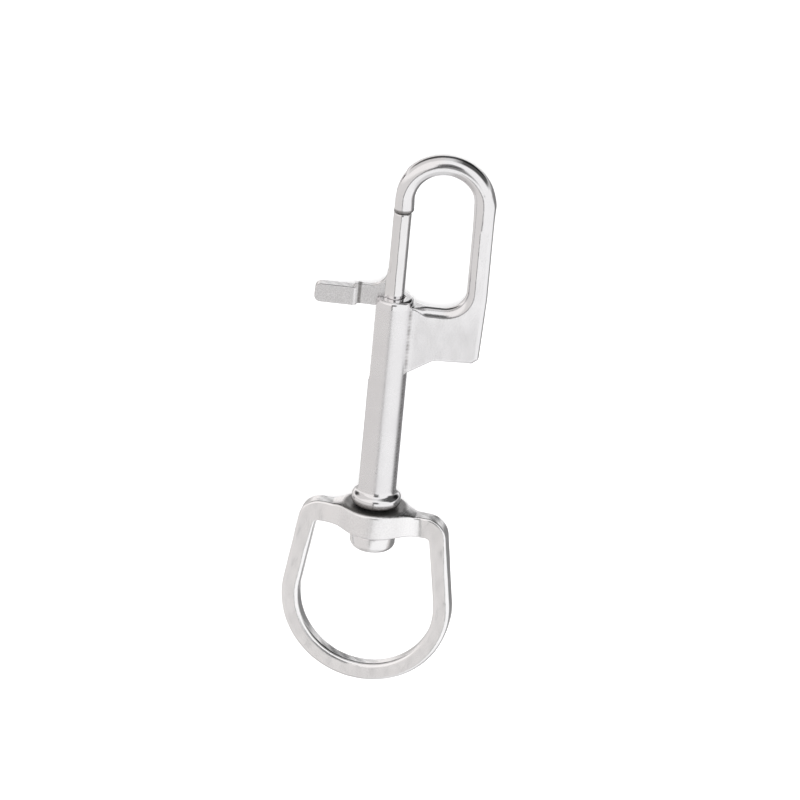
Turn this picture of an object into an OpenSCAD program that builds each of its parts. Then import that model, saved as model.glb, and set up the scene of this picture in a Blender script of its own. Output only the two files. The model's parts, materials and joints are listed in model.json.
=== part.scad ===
// Swivel snap hook: a cast bolt snap with a spring bolt and a swivelling strap eye.
// It lies on its eye boss and its hook arch, with the barrel along X and the hook to +X.
// Millimetres. Each module is drawn along the barrel's own axis (Z, hook end up,
// web towards +X) and laid down by rest().

/* [Barrel] */
// Outer diameter of the barrel
barrel_dia = 7.6; // [6.8:0.1:9]
// Barrel length from the end flange to the open mouth
barrel_length = 45.5; // [40:0.1:52]
// Bore that guides the bolt and holds the spring
bore_dia = 3.8; // [3.2:0.05:4.4]
// Diameter of the end flange above the strap eye
flange_dia = 9.8; // [9:0.1:12]
// Thickness of the end flange
flange_thickness = 2.2; // [1.4:0.1:3]

/* [Hook] */
// Diameter of the round stock of the arch
stock_dia = 4.2; // [3.4:0.1:4.8]
// Clear width from the bolt's axis to the inside of the spine
loop_width = 14.2; // [12.5:0.1:18]
// Gate opening between the barrel's mouth and the hook's tip
gate_opening = 18.9; // [15:0.1:22]
// Thickness of the flat web and of the spine
web_thickness = 3.6; // [3:0.1:3.9]
// Height of the web below the barrel's mouth
web_height = 12.5; // [10:0.1:15]
// Inside radius of the loop's lower corner
corner_radius = 4.5; // [3:0.1:5]

/* [Sliding bolt] */
// How far the bolt can be pulled back
bolt_travel = 16; // [12:0.5:17]
// Thickness of the lever's arm
arm_thickness = 1.6; // [1.2:0.1:2]
// Height of the arm along the barrel
arm_height = 4.2; // [3:0.1:5]
// Length of the thumb pad
pad_length = 8.7; // [6:0.1:12]
// Height of the thumb pad along the barrel
pad_height = 3.9; // [3:0.1:5]
// Thickness of the thumb pad
pad_thickness = 2.5; // [2:0.1:3.5]
// Distance from the bolt's axis to the pad
pad_reach = 7.4; // [6.2:0.1:9]

/* [Return spring] */
// Wire diameter
wire_dia = 0.5; // [0.4:0.05:0.6]
// Number of coils
coils = 13; // [9:1:15]

/* [Strap eye] */
// Widest outer width of the eye
eye_width = 34.6; // [30:0.1:42]
// Length from the boss to the far outer edge
eye_length = 38.4; // [34:0.1:46]
// Thickness of the eye's bar, both ways
bar_size = 3.5; // [2.8:0.1:4]
// Height of the boss
eye_height = 5.1; // [4.6:0.1:6]
// Step from the boss's top down to the top bar
bar_drop = 0.75; // [0.4:0.05:1.2]
// Diameter of the boss round the rivet
boss_dia = 13.2; // [12:0.1:15]
// Outward lean of each side bar in degrees
splay = 8; // [4:0.5:9]
// Turn of the eye as the hook lies, in degrees
eye_turn = 8; // [-14:1:14]

/* [Swivel rivet] */
// Diameter of the rivet's head
head_dia = 9.1; // [8:0.1:10.5]
// Thickness of the head
head_thickness = 3.65; // [2.4:0.1:4.4]
// End play between the flange and the boss
upper_play = 0.5; // [0.3:0.1:2]
// End play between the boss and the rivet's head
lower_play = 0.8; // [0.3:0.1:2.5]
// Length of shank held in the barrel
grip_length = 3.5; // [2.5:0.1:5]

/* [Hidden] */
$fn = 72;
running = 0.1;                 // radial clearance of the bolt in the bore
swivel_gap = 0.08;             // radial clearance of the rivet in the boss
press = 0.01;                  // radial interference of the rivet in the bore

barrel_r = barrel_dia / 2;
bore_r = bore_dia / 2;
rod_r = bore_r - running;
flange_r = flange_dia / 2;
stock_r = stock_dia / 2;
web_h = web_thickness / 2;

// Hook
spine_out = loop_width + stock_dia;
arch_r = (spine_out - stock_r) / 2;
tip_z = barrel_length + gate_opening;
tip_length = 2.75;             // straight part of the tip below the arch
arch_z = tip_z + tip_length;
rim_x = loop_width + web_h;    // line where the rounded rim meets the flat side
floor_drop = 1.5;              // from the barrel's mouth down to the loop's floor
floor_z = barrel_length - floor_drop - web_h;
rim_r = corner_radius + web_h;
rim_cx = rim_x - rim_r;
foot_z = barrel_length - web_height;
knee_out = 5.1;                // from the barrel's side to the web's knee
knee_x = barrel_r + knee_out;
knee_angle = 33;
knee_r = 3;
inset = 0.3;                   // the plate stops this far inside the rim
fade_r = 4;
taper_length = 5;              // run in which the spine swells into the arch

// Bolt and lever
arm_drop = 2.1;                // arm's lower edge below the barrel's mouth
pad_drop = 0.55;               // middle of the pad below the arm's middle
arm_low = barrel_length - arm_drop;
arm_top = arm_low + arm_height;
slot_width = arm_thickness + 0.4;
slot_low = arm_low - bolt_travel - 0.55;
gusset_r = 3.4;

// Spring
coil_r = bore_r - 0.15 - wire_dia / 2;
spring_low = grip_length;
rod_low = spring_low + coils * wire_dia * 1.05 + 1 + bolt_travel;

// Strap eye and rivet
boss_r = boss_dia / 2;
shank_r = bore_r + press;
eye_top = -upper_play;
eye_low = eye_top - eye_height;
bar_height = eye_height - bar_drop;
round_r = 0.22 * bar_size;
ring_r = eye_width / 2 - bar_size / 2;
ring_cz = eye_top - eye_length + bar_size / 2 + ring_r;
corner_x = (ring_r + bar_size / 2 - bar_height + (ring_cz - eye_low) * sin(splay))
    / cos(splay);
blend_r = 3.5;
lap = 0.3;                     // how far the straight bars run into the bends
proud = 0.03;                  // the bends stand this much proud of them
head_top = eye_low - lower_play;

// Lying pose: the boss's upper rim and the arch's far side touch the ground together
lean_span = arch_z + arch_r - eye_top;
lean = acos(stock_r / sqrt(boss_r * boss_r + lean_span * lean_span))
    - atan2(lean_span, boss_r);
lift = boss_r * cos(lean) + eye_top * sin(lean);
x_high = (arch_z + arch_r) * cos(lean) + stock_r;
x_low = (ring_cz - ring_r) * cos(lean) - bar_size / 2;
y_web = spine_out;
y_eye = eye_width / 2 * cos(eye_turn);

// Turns a piece drawn along the barrel's axis into the lying object
module rest() {
    translate([-(x_high + x_low) / 2, (y_web - y_eye) / 2, lift])
        rotate([0, lean, 0])
            rotate([-90, 0, 0])
                rotate([0, 90, 0])
                    children();
}

// Extrudes a shape drawn as (x, z) in the hook's plane, centred on that plane
module in_plane(depth) {
    rotate([90, 0, 0])
        linear_extrude(height = depth, center = true)
            children();
}

// Sweeps a section round a centre in the hook's plane; angles run from +X to +Z
module sweep(x, z, from, to) {
    translate([x, 0, z])
        rotate([90, 0, 0])
            rotate([0, 0, from])
                rotate_extrude(angle = to - from)
                    children();
}

function arc(x, y, r, from, to, steps) =
    [for (i = [0 : steps]) let (a = from + (to - from) * i / steps)
        [x + r * cos(a), y + r * sin(a)]];

// Rounded rectangle about the origin
module rounded(a, b, r) {
    square([a - 2 * r, b], center = true);
    square([a, b - 2 * r], center = true);
    for (sx = [-1, 1], sy = [-1, 1])
        translate([sx * (a / 2 - r), sy * (b / 2 - r)])
            circle(r);
}

// Half-round rim with a short flat tongue that runs into the plate
module rim_section(tongue) {
    circle(web_h);
    translate([0, -web_h])
        square([tongue, web_thickness]);
}

// Outer form of the barrel with its flange, fillet and rounded mouth
module barrel_blank() {
    rotate_extrude()
        polygon(concat(
            [[0, 0], [flange_r - 0.35, 0], [flange_r, 0.35],
             [flange_r, flange_thickness - 0.35], [flange_r - 0.35, flange_thickness]],
            arc(barrel_r + 0.7, flange_thickness + 0.7, 0.7, 270, 180, 6),
            arc(barrel_r - 1, barrel_length - 1, 1, 0, 90, 8),
            [[0, barrel_length]]));
}

// Flat web, spine and the place where the spine fades into the round arch
module web_plate() {
    tangent = knee_r * tan(knee_angle / 2);
    fade_x = rim_x + inset;
    fade_a = acos((fade_x - spine_out + fade_r) / fade_r);
    in_plane(web_thickness)
        polygon(concat(
            arc(spine_out - fade_r, arch_z, fade_r, fade_a, 0, 8),
            [[spine_out, barrel_length], [spine_out - 0.6, foot_z + 1.1],
             [spine_out - 1.9, foot_z]],
            arc(knee_x + tangent, foot_z - knee_r, knee_r, 90, 90 + knee_angle, 6),
            [[bore_r * 0.8, foot_z - (knee_x - bore_r * 0.8) * tan(knee_angle)]],
            [[bore_r * 0.8, floor_z - inset]],
            arc(rim_cx, floor_z + rim_r, rim_r + inset, 270, 360, 18)));
}

// Half-round rim of the loop: spine, lower corner and the floor that runs into the barrel
module loop_rim() {
    translate([rim_x, 0, floor_z + rim_r])
        linear_extrude(height = arch_z - floor_z - rim_r)
            rim_section(spine_out - rim_x);
    sweep(rim_cx, floor_z + rim_r, 270, 360)
        translate([rim_r, 0])
            rim_section(1.2);
    start_x = bore_r + 0.5;
    translate([start_x, 0, floor_z])
        rotate([0, 90, 0])
            linear_extrude(height = rim_cx - start_x)
                rim_section(1.2);
}

// Round arch and the tip that the bolt closes on
module arch() {
    sweep(arch_r, arch_z, 0, 180)
        translate([arch_r, 0])
            circle(stock_r);
    translate([2 * arch_r, 0, arch_z - taper_length])
        cylinder(h = taper_length, r1 = 0.8 * stock_r, r2 = stock_r);
    translate([0, 0, tip_z]) {
        cylinder(h = 0.4, r1 = stock_r - 0.4, r2 = stock_r);
        translate([0, 0, 0.4])
            cylinder(h = arch_z - tip_z - 0.4, r = stock_r);
    }
}

// Open-topped slot for the lever's arm, with a round lower end
module lever_slot() {
    translate([-flange_r - 1, -slot_width / 2, slot_low + slot_width / 2])
        cube([flange_r + 1, slot_width, barrel_length]);
    translate([0, 0, slot_low + slot_width / 2])
        rotate([0, -90, 0])
            cylinder(h = flange_r + 1, r = slot_width / 2);
}

module hook_body() {
    color([0.75, 0.75, 0.76])
        rest()
            difference() {
                union() {
                    barrel_blank();
                    web_plate();
                    loop_rim();
                    arch();
                }
                translate([0, 0, -1])
                    cylinder(h = barrel_length + 2, r = bore_r);
                lever_slot();
            }
}

// Round bolt with bevelled ends
module bolt_rod() {
    rotate_extrude()
        polygon([[0, rod_low], [rod_r - 0.35, rod_low], [rod_r, rod_low + 0.35],
            [rod_r, tip_z - 0.6], [rod_r - 0.5, tip_z - 0.05], [0, tip_z - 0.05]]);
}

// Thin arm with the gusset that sweeps up the rod
module lever_arm() {
    in_plane(arm_thickness)
        polygon(concat(
            [[-rod_r * 0.5, arm_low], [-pad_reach - 1, arm_low],
             [-pad_reach - 1, arm_top]],
            arc(-rod_r - gusset_r, arm_top + gusset_r, gusset_r, 270, 360, 12),
            [[-rod_r * 0.5, arm_top + gusset_r]]));
}

// Thumb pad, rounded at its free end and bevelled where it meets the arm
module thumb_pad() {
    low = arm_low + (arm_height - pad_height) / 2 - pad_drop;
    top = low + pad_height;
    outer = -pad_reach - pad_length;
    bevel = (pad_thickness - arm_thickness) / 2;
    intersection() {
        in_plane(pad_thickness)
            polygon(concat(
                arc(-pad_reach - 0.4, low + 0.4, 0.4, 360, 270, 3),
                arc(outer + 1.2, low + 1.2, 1.2, 270, 180, 8),
                arc(outer + 1.2, top - 1.2, 1.2, 180, 90, 8),
                arc(-pad_reach - 0.4, top - 0.4, 0.4, 90, 0, 3)));
        translate([0, 0, low - 1])
            linear_extrude(height = pad_height + 2)
                polygon([
                    [-pad_reach, -arm_thickness / 2 - 0.1],
                    [-pad_reach, arm_thickness / 2 + 0.1],
                    [-pad_reach - 2.2 * bevel, pad_thickness / 2],
                    [outer - 1, pad_thickness / 2 + 0.5],
                    [outer - 1, -pad_thickness / 2 - 0.5],
                    [-pad_reach - 2.2 * bevel, -pad_thickness / 2]]);
    }
}

module sliding_bolt() {
    color([0.72, 0.72, 0.74])
        rest()
            union() {
                bolt_rod();
                lever_arm();
                thumb_pad();
            }
}

// Height of the wire's centre after t turns, with a closed coil at each end
function coil_height(t, length) =
    let (tight = 1.1 * wire_dia, open = (length - 2 * tight) / (coils - 2))
    t < 1 ? t * tight
    : t > coils - 1 ? length - (coils - t) * tight
    : tight + (t - 1) * open;

module return_spring() {
    sides = 6;
    per_turn = 16;
    count = coils * per_turn;
    low = spring_low + wire_dia / 2 + 0.03;
    length = rod_low - spring_low - wire_dia - 0.06;
    points = [for (i = [0 : count]) let (t = i / per_turn)
        for (k = [0 : sides - 1]) let (a = 360 * k / sides, r = coil_r + wire_dia / 2 * cos(a))
            [r * cos(360 * t), r * sin(360 * t),
             low + coil_height(t, length) + wire_dia / 2 * sin(a)]];
    skin = [for (i = [0 : count - 1], k = [0 : sides - 1])
        let (n = (k + 1) % sides, a = i * sides, b = (i + 1) * sides)
            each [[a + k, b + k, b + n], [a + k, b + n, a + n]]];
    first = [for (k = [0 : sides - 1]) k];
    last = [for (k = [sides - 1 : -1 : 0]) count * sides + k];
    color([0.62, 0.62, 0.64])
        rest()
            polyhedron(points, concat(skin, [first, last]));
}

// Headed rivet; its shank runs up through the boss and is held in the barrel
module swivel_rivet() {
    head_r = head_dia / 2;
    head_low = head_top - head_thickness;
    soft = head_thickness / 2;
    color([0.70, 0.70, 0.72])
        rest()
            rotate_extrude()
                polygon(concat(
                    [[0, head_low]],
                    arc(head_r - soft, head_low + soft, soft, 270, 360, 8),
                    [[head_r, head_top - 0.25], [head_r - 0.25, head_top],
                     [shank_r, head_top], [shank_r, grip_length - 0.3],
                     [shank_r - 0.3, grip_length], [0, grip_length]]));
}

// Round boss that stands proud of the top bar, with hollows that lead its side into the bar
module boss() {
    blend_y = bar_size / 2 + blend_r;
    blend_x = sqrt(pow(boss_r + blend_r, 2) - blend_y * blend_y);
    toward = 180 + atan2(blend_y, blend_x);
    translate([0, 0, eye_low]) {
        linear_extrude(height = eye_height)
            circle(boss_r);
        linear_extrude(height = bar_height)
            for (sx = [0, 1], sy = [0, 1])
                mirror([sx, 0])
                    mirror([0, sy])
                        polygon(concat([[0, 0], [0, boss_r / 2]],
                            arc(blend_x, blend_y, blend_r + 0.02, toward, 270, 10),
                            [[blend_x, 0]]));
    }
}

// One side of the eye: corner and side bar
module eye_side() {
    start_r = bar_height - bar_size / 2;
    sx = corner_x + start_r * cos(splay);
    sz = eye_low + start_r * sin(splay);
    length = norm([ring_r * cos(splay) - sx, ring_cz + ring_r * sin(splay) - sz]);
    reach = bar_height + proud;
    half = bar_size / 2 + proud;
    // The corner is a quarter of a round-edged disc about the eye's inner corner
    translate([corner_x, 0, eye_low])
        intersection() {
            rotate([90, 0, 0])
                rotate_extrude()
                    intersection() {
                        rounded(2 * reach, 2 * half, round_r);
                        translate([0, -half])
                            square([reach, 2 * half]);
                    }
            in_plane(2 * half + 1)
                polygon([[-lap, -proud], [2 * reach, -proud],
                         [2 * reach, 2 * reach], [-lap, 2 * reach]]);
        }
    translate([sx, 0, sz])
        rotate([0, 180 - splay, 0])
            translate([0, 0, -lap])
                linear_extrude(height = length + 2 * lap)
                    rounded(bar_size, bar_size, round_r);
}

module swivel_ring() {
    color([0.74, 0.74, 0.76])
        rest()
            rotate([0, 0, -eye_turn])
                difference() {
                    union() {
                        boss();
                        translate([-corner_x, 0, eye_low + bar_height / 2])
                            rotate([0, 90, 0])
                                linear_extrude(height = 2 * corner_x)
                                    rounded(bar_height, bar_size, round_r);
                        eye_side();
                        mirror([1, 0, 0])
                            eye_side();
                        sweep(0, ring_cz, -180 - splay, splay)
                            translate([ring_r, 0])
                                rounded(bar_size + 2 * proud, bar_size + 2 * proud, round_r);
                    }
                    translate([0, 0, eye_low - 1])
                        cylinder(h = eye_height + 2, r = shank_r + swivel_gap);
                }
}

hook_body();
sliding_bolt();
return_spring();
swivel_rivet();
swivel_ring();
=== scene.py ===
"""Looks of a swivel snap hook: cast hook body, spring bolt, return spring, rivet and strap eye."""

import sys

import json
import logging
import math
from abc import ABC, abstractmethod
from collections.abc import Callable, Sequence
from dataclasses import dataclass
from enum import Enum
from typing import ClassVar

import bmesh
import bpy
import numpy as np
import numpy.typing as npt
from mathutils import Matrix, Vector


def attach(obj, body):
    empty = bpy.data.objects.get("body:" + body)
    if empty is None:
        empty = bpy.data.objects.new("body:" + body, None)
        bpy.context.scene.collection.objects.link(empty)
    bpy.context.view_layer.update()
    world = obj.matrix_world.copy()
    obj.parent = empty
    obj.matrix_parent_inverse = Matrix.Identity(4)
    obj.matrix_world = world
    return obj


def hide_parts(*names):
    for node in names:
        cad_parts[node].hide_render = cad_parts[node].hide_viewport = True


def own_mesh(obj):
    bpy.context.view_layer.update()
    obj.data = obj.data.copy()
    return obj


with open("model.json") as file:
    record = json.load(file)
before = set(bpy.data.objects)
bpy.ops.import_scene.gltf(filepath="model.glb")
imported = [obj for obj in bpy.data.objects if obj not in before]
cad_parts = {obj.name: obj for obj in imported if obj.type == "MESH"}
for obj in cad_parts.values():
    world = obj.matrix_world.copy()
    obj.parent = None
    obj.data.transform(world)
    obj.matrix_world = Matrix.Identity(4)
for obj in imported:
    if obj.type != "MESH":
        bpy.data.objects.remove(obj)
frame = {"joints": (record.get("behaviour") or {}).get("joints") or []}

Array = npt.NDArray[np.float64]
Field = Callable[[Array, Array, Array], Array]
Colour = tuple[float, float, float]
Outline = list[tuple[float, float]]
Socket = bpy.types.NodeSocket

MM = 0.001
SWIVEL_RISE = 3.05  # mm from the swivel joint's point up to the flange
EYE_TURN = 8.0  # degrees that the eye stands turned at rest

log = logging.getLogger("snap_hook")


class Body(Enum):
    """The bodies that the pieces ride on."""

    HOOK = "hook"
    BOLT = "bolt"
    EYE = "eye"


# ---------------------------------------------------------------- axes


@dataclass(frozen=True)
class BarrelAxes:
    """The barrel's own axes in the lying object: v towards the web, u up the barrel, w upwards.

    The origin is the middle of the end flange's lower face. Lengths along the axes are millimetres.
    """

    origin: Vector
    u: Vector
    v: Vector
    w: Vector

    @classmethod
    def from_swivel(cls, joints: Sequence[dict], rise: float) -> "BarrelAxes":
        """Reads the axes from the eye's swivel joint.

        Args:
            joints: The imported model's joints.
            rise: Distance from the joint's point up to the flange, in mm.

        Returns:
            The axes in the row frame.
        """
        swivel = next(j for j in joints if j["name"] == "eye_swivel")
        u = Vector(swivel["axis"]).normalized()
        v = Vector((0.0, -1.0, 0.0))
        return cls(Vector(swivel["pos_m"]) + u * rise * MM, u, v, v.cross(u))

    def turned(self, degrees: float) -> "BarrelAxes":
        """Returns the same axes turned about the barrel by an angle."""
        a = math.radians(degrees)
        return BarrelAxes(self.origin, self.u,
                          self.v * math.cos(a) + self.w * math.sin(a),
                          self.w * math.cos(a) - self.v * math.sin(a))

    def place(self, points: Array) -> Array:
        """Turns points in mm along (v, u, w) into metres in the row frame."""
        base = np.array([self.v, self.u, self.w], float)
        return np.array(self.origin, float) + points @ base * MM

    def direct(self, vectors: Array) -> Array:
        """Turns directions along (v, u, w) into directions in the row frame."""
        return vectors @ np.array([self.v, self.u, self.w], float)

    def matrix(self) -> Matrix:
        """Returns the matrix from mm along (v, u, w) to metres in the row frame."""
        turn = Matrix((self.v, self.u, self.w)).transposed() * MM
        return Matrix.Translation(self.origin) @ turn.to_4x4()


# ---------------------------------------------------------------- shapes as distances


def arc(x: float, y: float, r: float, start: float, end: float, step: float = 3.0) -> Outline:
    """Returns points on an arc, from start to end in degrees."""
    count = max(2, int(abs(end - start) / step) + 1)
    return [(x + r * math.cos(a), y + r * math.sin(a)) for a in np.radians(np.linspace(start, end, count))]


def outline(points: Outline, x: Array, y: Array) -> Array:
    """Signed distance to a closed outline, negative inside.

    Args:
        points: The outline's corners in order.
        x: First coordinate of the places asked for.
        y: Second coordinate, which broadcasts with the first.

    Returns:
        The distances, in the unit of the points.
    """
    nearest = np.full(np.broadcast(x, y).shape, np.inf)
    within = np.zeros(nearest.shape, bool)
    for (ax, ay), (bx, by) in zip(points, [*points[1:], points[0]]):
        ex, ey = bx - ax, by - ay
        size = ex * ex + ey * ey
        if size < 1e-12:
            continue
        t = np.clip(((x - ax) * ex + (y - ay) * ey) / size, 0.0, 1.0)
        nearest = np.minimum(nearest, (x - ax - t * ex) ** 2 + (y - ay - t * ey) ** 2)
        if ay != by:
            spans = (y >= ay) != (y >= by)
            within ^= spans & (x < ax + (y - ay) * ex / ey)
    return np.where(within, -1.0, 1.0) * np.sqrt(nearest)


def slab(flat: Array, end: Array, radius: Array | float) -> Array:
    """Joins a flat distance and an end distance into a solid whose edges are rounded by a radius."""
    a, b = flat + radius, end + radius
    return np.minimum(np.maximum(a, b), 0.0) + np.hypot(np.maximum(a, 0.0), np.maximum(b, 0.0)) - radius


def fuse(a: Array, b: Array, fillet: float) -> Array:
    """Joins two solids with a fillet between them."""
    k = fillet / 0.85
    h = np.maximum(k - np.abs(a - b), 0.0) / k
    return np.minimum(a, b) - h * h * k / 4.0


def carve(a: Array, b: Array, edge: float) -> Array:
    """Cuts solid b from solid a and softens the edge."""
    return -fuse(-a, b, edge)


def ramp(value: Array, start: float, run: float) -> Array:
    """Rises from 0 at start to 1 a run further on, or the other way for a negative run."""
    return np.clip((value - start) / run, 0.0, 1.0)


def near(distance: Array, reach: float) -> Array:
    """Returns 1 where something touches and 0 beyond its reach."""
    return np.clip(1.0 - distance / reach, 0.0, 1.0)


def uneven(v: Array, u: Array, w: Array, depth: float, length: float) -> Array:
    """A slow waviness such as a tumbled casting keeps.

    Args:
        v: Places along v in mm.
        u: Places along u in mm.
        w: Places along w in mm.
        depth: Greatest height in mm.
        length: Length of the longest wave in mm.

    Returns:
        The height at each place.
    """
    k = 2.0 * math.pi / length
    slow = np.sin(k * (u + 0.37 * w) + 1.1) * np.cos(k * (0.83 * v - 0.21 * u) + 0.4)
    quick = np.sin(2.3 * k * (0.9 * w + 0.5 * u)) * np.sin(2.7 * k * (v - 0.4 * w) + 2.0)
    return depth * (0.6 * slow + 0.4 * quick)


def store(mesh: bpy.types.Mesh, values: dict[str, Array | float]) -> None:
    """Stores values from 0 to 1 on a mesh's points, each under its name."""
    for label, value in values.items():
        attribute = mesh.attributes.new(label, "FLOAT", "POINT")
        attribute.data.foreach_set("value", np.full(len(mesh.vertices), np.clip(value, 0.0, 1.0), np.float32))


@dataclass(frozen=True)
class Skin:
    """Lays a closed mesh on the zero surface of a distance field.

    The box from low to high is searched in cubes of one cell. Reach is how deep an edge or a hollow is
    felt, probe the step that measures slopes, shift keeps the grid off flat faces, in cells.
    """

    low: tuple[float, float, float]
    high: tuple[float, float, float]
    cell: float
    reach: float = 0.6
    probe: float = 0.04
    shift: float = 0.137
    passes: int = 3

    def mesh(self, name: str, solid: Field, axes: BarrelAxes, painted_shade: Field, grainy: Field) -> bpy.types.Mesh:
        """Builds the mesh with its true normals and the four attributes that its finish reads.

        Args:
            name: Name of the mesh.
            solid: The field, in mm along v, u and w.
            axes: Where the field's axes lie.
            painted_shade: How much painted shade a place gets, from 0 to 1.
            grainy: How coarse the casting's skin is at a place, from 0 to 1.

        Returns:
            The mesh, in metres in the row frame.
        """
        points, quads = self._nets(solid)
        for _ in range(self.passes):
            away, normal = self._slope(solid, points)
            points = points - normal * np.clip(away, -0.5 * self.cell, 0.5 * self.cell)[:, None]
        _, normal = self._slope(solid, points)
        mesh = bpy.data.meshes.new(name)
        mesh.from_pydata(axes.place(points).tolist(), [], quads.tolist())
        mesh.shade_smooth()
        mesh.normals_split_custom_set_from_vertices(axes.direct(normal).tolist())
        inner = solid(*(points - normal * self.reach).T)
        outer = solid(*(points + normal * self.reach).T)
        # Stored for the finish: worn edges, hollows that it darkens as painted shade, the painted shade from the
        # field, and coarseness.
        store(mesh, {"edge_wear": inner / self.reach + 1.0, "recess": 1.0 - outer / self.reach,
                     "dirt_and_painted_shade": painted_shade(*points.T), "coarse": grainy(*points.T)})
        return mesh

    def _slope(self, solid: Field, points: Array) -> tuple[Array, Array]:
        """Returns each point's distance and the surface's direction there."""
        grad = np.empty_like(points)
        for k in range(3):
            move = np.zeros(3)
            move[k] = self.probe
            grad[:, k] = solid(*(points + move).T) - solid(*(points - move).T)
        size = np.maximum(np.linalg.norm(grad, axis=1, keepdims=True), 1e-9)
        return solid(*points.T) * (2 * self.probe / size[:, 0]).clip(0.5, 1.5), grad / size

    def _nets(self, solid: Field) -> tuple[Array, npt.NDArray[np.int64]]:
        """Finds one point in every cell that the surface crosses, and the faces between them."""
        lines = [np.arange(lo + self.shift * self.cell, hi + self.cell, self.cell)
                 for lo, hi in zip(self.low, self.high)]
        grid = solid(lines[0][:, None, None], lines[1][None, :, None], lines[2][None, None, :])
        flat = grid.reshape(-1)
        stride = np.array([grid.shape[1] * grid.shape[2], grid.shape[2], 1])
        total = np.zeros((flat.size, 3))
        count = np.zeros(flat.size)
        rings: list[Array] = []
        for axis in range(3):
            head = [slice(None)] * 3
            head[axis] = slice(0, -1)
            tail = [slice(None)] * 3
            tail[axis] = slice(1, None)
            low_in, high_in = grid[tuple(head)] < 0.0, grid[tuple(tail)] < 0.0
            place = np.argwhere(low_in != high_in)
            index = place @ stride
            d0, d1 = flat[index], flat[index + stride[axis]]
            spot = place.astype(float)
            spot[:, axis] += d0 / (d0 - d1)
            b, c = stride[(axis + 1) % 3], stride[(axis + 2) % 3]
            around = np.stack([index, index - b, index - b - c, index - c], 1)
            for k in range(4):
                np.add.at(total, around[:, k], spot)
                np.add.at(count, around[:, k], 1.0)
            rings.append(np.where((d0 < 0.0)[:, None], around, around[:, ::-1]))
        used = np.flatnonzero(count)
        number = np.full(flat.size, -1)
        number[used] = np.arange(used.size)
        start = np.array([line[0] for line in lines])
        return start + total[used] / count[used, None] * self.cell, number[np.concatenate(rings)]


# ---------------------------------------------------------------- finishes


class Nodes:
    """Short calls for building a material's or the world's node tree."""

    def __init__(self, owner: bpy.types.Material | bpy.types.World) -> None:
        """Empties the owner's node tree and gives it a shader and an output."""
        owner.use_nodes = True
        self.owner = owner
        self.tree = owner.node_tree
        self.tree.nodes.clear()
        world = isinstance(owner, bpy.types.World)
        self.output = self.add("ShaderNodeOutputWorld" if world else "ShaderNodeOutputMaterial")
        self.shader = self.add("ShaderNodeBackground" if world else "ShaderNodeBsdfPrincipled")
        self.join(self.shader.outputs[0], self.output.inputs["Surface"])

    def add(self, kind: str, **values: object) -> bpy.types.Node:
        """Adds a node and sets its properties."""
        node = self.tree.nodes.new(kind)
        for key, value in values.items():
            setattr(node, key, value)
        return node

    def join(self, source: Socket, target: Socket) -> None:
        """Links two sockets."""
        self.tree.links.new(source, target)

    def give(self, target: Socket, value: Socket | float) -> None:
        """Links a socket to another, or sets it to a number."""
        if isinstance(value, Socket):
            self.join(value, target)
        else:
            target.default_value = value

    def noise(self, place: Socket, size: float, detail: float, rough: float = 0.55) -> Socket:
        """Returns noise whose grains are about size metres across."""
        node = self.add("ShaderNodeTexNoise")
        node.inputs["Scale"].default_value = 1.0 / size
        node.inputs["Detail"].default_value = detail
        node.inputs["Roughness"].default_value = rough
        self.join(place, node.inputs["Vector"])
        return node.outputs["Fac"]

    def span(self, value: Socket, old: tuple[float, float], new: tuple[float, float]) -> Socket:
        """Maps a range of a value to a new range, and holds it at the ends."""
        node = self.add("ShaderNodeMapRange")
        for key, number in zip(("From Min", "From Max", "To Min", "To Max"), (*old, *new)):
            node.inputs[key].default_value = number
        self.join(value, node.inputs["Value"])
        return node.outputs["Result"]

    def fold(self, kind: str, *values: Socket) -> Socket:
        """Folds values together with one kind of sum, such as ADD or MULTIPLY."""
        total = values[0]
        for value in values[1:]:
            node = self.add("ShaderNodeMath", operation=kind)
            self.join(total, node.inputs[0])
            self.join(value, node.inputs[1])
            total = node.outputs[0]
        return total

    def tint(self, factor: Socket, base: Colour | Socket, full: Colour) -> Socket:
        """Mixes a base colour with another by a factor from 0 to 1."""
        node = self.add("ShaderNodeMix", data_type="RGBA")
        self.join(factor, node.inputs[0])
        self.give(node.inputs[6], (*base, 1.0) if isinstance(base, tuple) else base)
        node.inputs[7].default_value = (*full, 1.0)
        return node.outputs[2]

    def bump(self, height: Socket, depth: float, strength: Socket | float, under: Socket | None = None) -> Socket:
        """Adds relief of a depth in metres, over an earlier normal if there is one."""
        node = self.add("ShaderNodeBump")
        node.inputs["Distance"].default_value = depth
        self.give(node.inputs["Strength"], strength)
        self.join(height, node.inputs["Height"])
        if under is not None:
            self.join(under, node.inputs["Normal"])
        return node.outputs["Normal"]

    def attribute(self, name: str) -> Socket:
        """Reads a value stored on the mesh."""
        return self.add("ShaderNodeAttribute", attribute_name=name).outputs["Fac"]


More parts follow.
